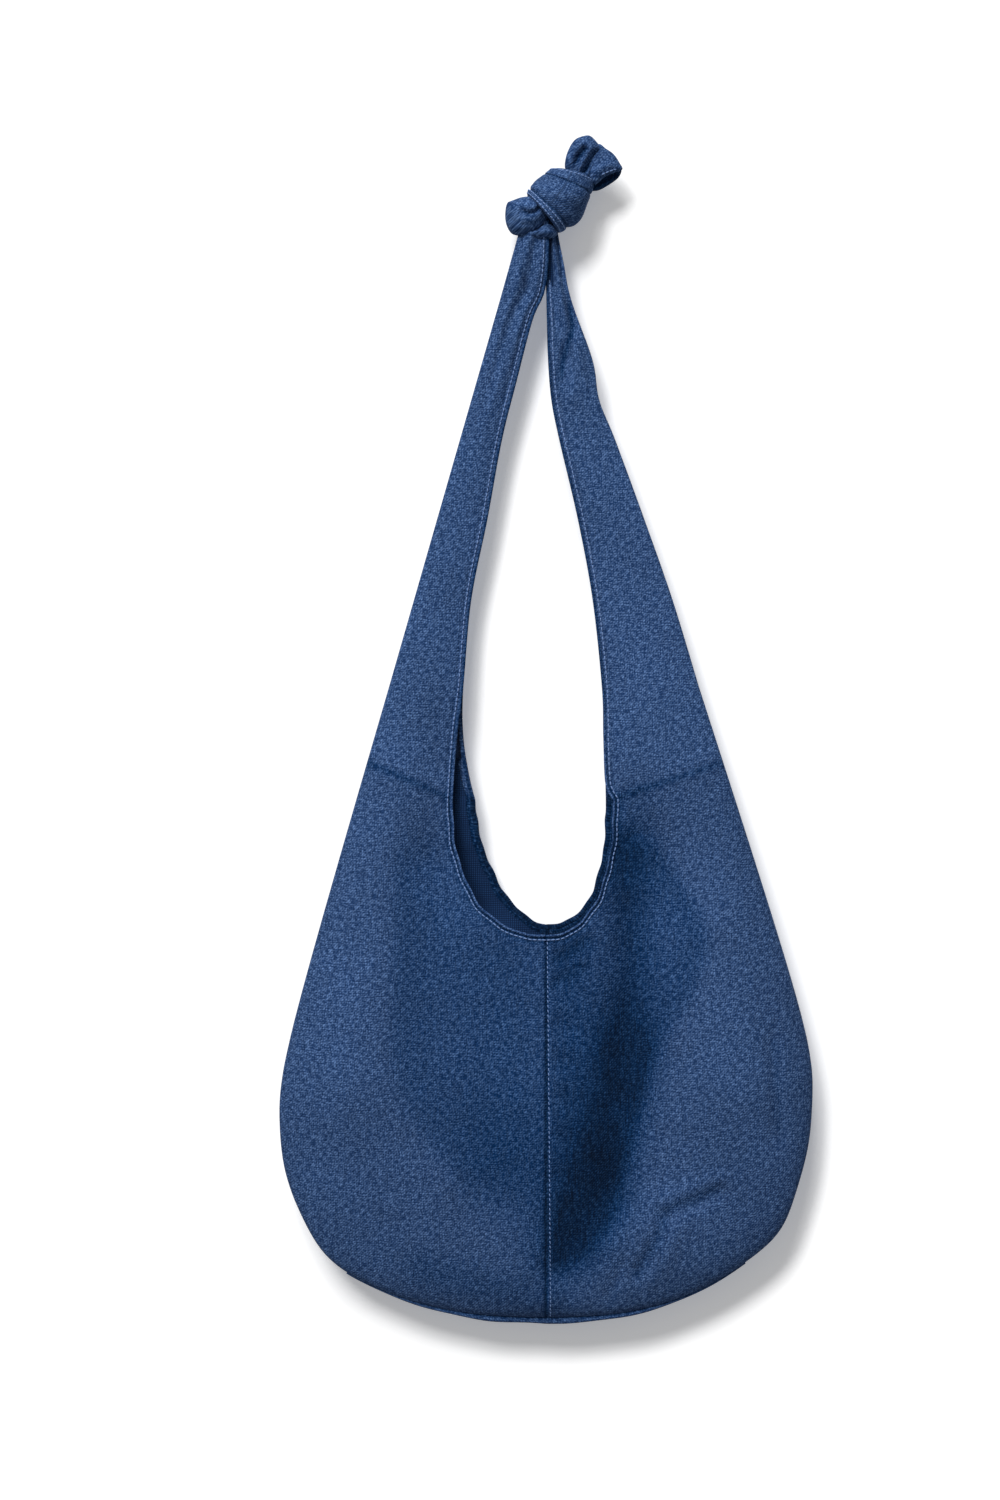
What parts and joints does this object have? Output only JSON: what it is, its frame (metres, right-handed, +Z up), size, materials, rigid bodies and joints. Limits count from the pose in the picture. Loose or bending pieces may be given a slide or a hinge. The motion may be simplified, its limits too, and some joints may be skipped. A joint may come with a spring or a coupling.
{
  "type": "canvas crossbody bag",
  "caption": "Slouchy crossbody bag of folded canvas halves with an open scooped mouth, lined inside, its straps knotted into a shoulder loop from which the body swings.",
  "frame": {"origin": "crotch of the tied loop, where a hook or a shoulder carries the bag", "axes": "+Z up along the hanging bag, +Y out of its back, +X to the right seen from the front"},
  "size_m": [0.4, 0.0622, 0.8889],
  "materials": {
    "canvas": "matte blue twill canvas, washed",
    "lining": "matte dark blue plain weave",
    "thread": "light blue spun thread"
  },
  "bodies": {
    "strap_loop": {"left_strap": "canvas", "right_strap": "canvas", "left_strap_facing": "lining", "right_strap_facing": "lining", "left_strap_topstitch": "thread", "right_strap_topstitch": "thread", "knot_wrap": "canvas", "knot_core": "canvas", "knot_bight": "canvas"},
    "bag": {"back_left_panel": "canvas", "back_right_panel": "canvas", "back_left_hem": "canvas", "back_right_hem": "canvas", "back_left_lining": "lining", "back_right_lining": "lining", "centre_back_allowance": "canvas", "centre_back_topstitch": "thread", "back_rim_topstitch": "thread", "bottom_seam": "canvas", "left_strap_root": "canvas", "right_strap_root": "canvas"},
    "front_wall": {"front_left_panel": "canvas", "front_right_panel": "canvas", "front_left_hem": "canvas", "front_right_hem": "canvas", "front_left_lining": "lining", "front_right_lining": "lining", "centre_front_allowance": "canvas", "centre_front_topstitch": "thread", "front_rim_topstitch": "thread"},
    "left_tail": {"left_tail": "canvas"},
    "right_tail": {"right_tail": "canvas"}
  },
  "joints": [
    {"name": "bag_swing", "type": "hinge", "parent": "strap_loop", "child": "bag", "pos_m": [0, 0, -0.33], "axis": [1, 0, 0], "range_deg": [-90, 90], "deforming": ["left_strap_root", "right_strap_root"]},
    {"name": "mouth_open", "type": "hinge", "parent": "bag", "child": "front_wall", "pos_m": [0, 0, -0.772], "axis": [1, 0, 0], "range_deg": [0, 12], "stiffness_Nm_per_rad": 0.5, "springref_deg": -17.19},
    {"name": "left_tail_bend", "type": "hinge", "parent": "strap_loop", "child": "left_tail", "pos_m": [0.02622, -0.00415, 0.08233], "axis": [0.9816, 0, -0.1908], "range_deg": [0, 40], "stiffness_Nm_per_rad": 0.02, "springref_deg": -8.59},
    {"name": "right_tail_bend", "type": "hinge", "parent": "strap_loop", "child": "right_tail", "pos_m": [0.02656, 0.00415, 0.08274], "axis": [-0.2079, 0, 0.9781], "range_deg": [0, 40], "stiffness_Nm_per_rad": 0.02, "springref_deg": -8.59}
  ]
}
